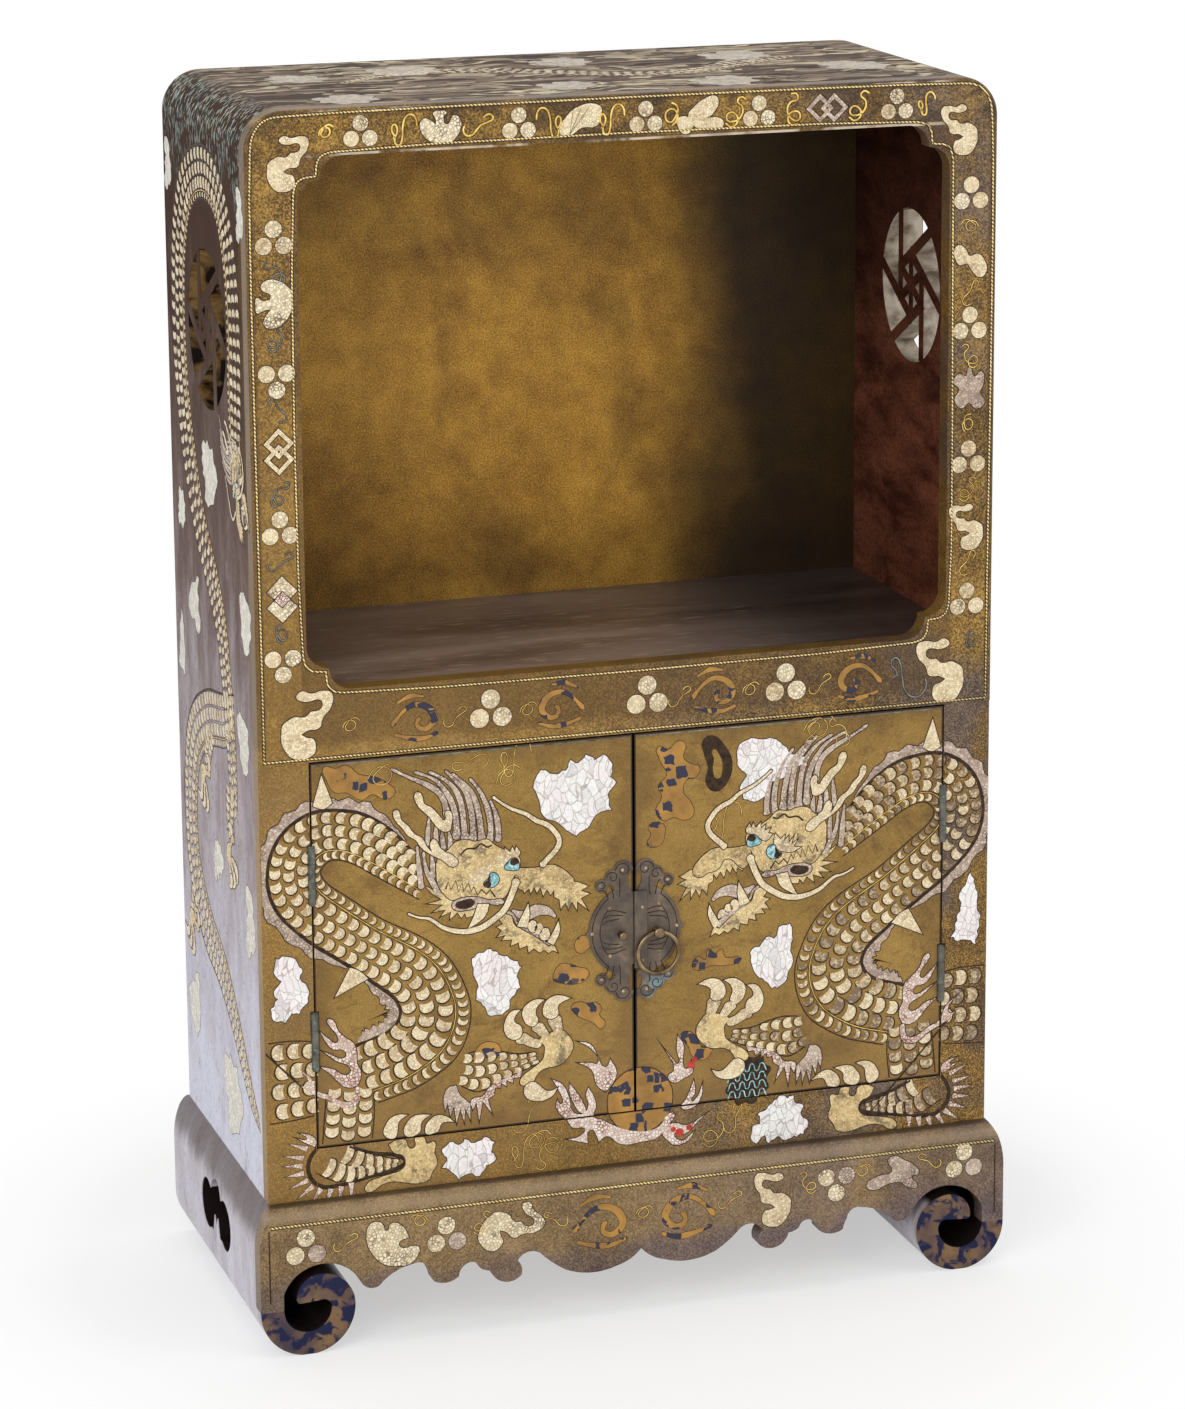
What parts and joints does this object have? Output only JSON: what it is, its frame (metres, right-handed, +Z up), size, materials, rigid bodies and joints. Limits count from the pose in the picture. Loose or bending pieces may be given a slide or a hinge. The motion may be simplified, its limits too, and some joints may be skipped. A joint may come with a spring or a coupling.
{
  "type": "lacquered book cabinet",
  "caption": "Low lacquered book cabinet: open niche over a two-door cupboard, on a stand with a cusped apron and scroll feet.",
  "frame": {"origin": "on the floor, under the centre of the cabinet's plan", "axes": "+X to the cabinet's right as seen from the front, -Y out of the doors, +Z up"},
  "size_m": [0.608, 0.286, 0.95],
  "materials": {
    "front_lacquer": "gloss",
    "door_lacquer": "gloss",
    "side_lacquer": "gloss",
    "niche_lacquer": "satin",
    "bare_wood": "matte",
    "lock_brass": "satin",
    "hinge_brass": "satin"
  },
  "bodies": {
    "cabinet": {"cupboard_floor": "bare_wood", "door_stop_block": "bare_wood", "frame_bottom_rail": "front_lacquer", "frame_leaf_nails_left": "hinge_brass", "frame_leaf_nails_right": "hinge_brass", "frame_stile_left": "front_lacquer", "frame_stile_right": "front_lacquer", "frame_top_rail": "front_lacquer", "hinge_frame_leaves_left": "hinge_brass", "hinge_frame_leaves_right": "hinge_brass", "hinge_pins_left": "hinge_brass", "hinge_pins_right": "hinge_brass", "lower_back_panel": "bare_wood", "lower_rail": "front_lacquer", "lower_stile_left": "front_lacquer", "lower_stile_right": "front_lacquer", "niche_back_panel": "niche_lacquer", "niche_shelf": "niche_lacquer", "shelf_bearer": "bare_wood", "side_panel_left": "side_lacquer", "side_panel_right": "side_lacquer", "stand_apron_back": "side_lacquer", "stand_apron_front": "front_lacquer", "stand_glue_blocks": "bare_wood", "stand_side_left": "side_lacquer", "stand_side_right": "side_lacquer", "stand_top_board": "bare_wood", "top_panel": "side_lacquer"},
    "door_left": {"door_board_left": "door_lacquer", "door_leaf_nails_left": "hinge_brass", "hinge_door_leaves_left": "hinge_brass", "lock_plate_left": "lock_brass", "lock_tacks_left": "lock_brass", "small_eye_post": "lock_brass"},
    "door_right": {"door_board_right": "door_lacquer", "door_leaf_nails_right": "hinge_brass", "hinge_door_leaves_right": "hinge_brass", "lock_bar": "lock_brass", "lock_bar_rivets": "lock_brass", "lock_plate_right": "lock_brass", "lock_tacks_right": "lock_brass", "ring_eye_post": "lock_brass"},
    "ring": {"pull_ring": "lock_brass"}
  },
  "joints": [
    {"name": "door_left_hinge", "type": "hinge", "parent": "cabinet", "child": "door_left", "pos_m": [-0.254, -0.13, 0.30975], "axis": [0, 0, -1], "range_deg": [0, 165]},
    {"name": "door_right_hinge", "type": "hinge", "parent": "cabinet", "child": "door_right", "pos_m": [0.254, -0.13, 0.30975], "axis": [0, 0, 1], "range_deg": [0, 165]},
    {"name": "ring_swing", "type": "hinge", "parent": "door_right", "child": "ring", "pos_m": [0.0177, -0.13525, 0.304], "axis": [-1, 0, 0], "range_deg": [0, 95]}
  ]
}
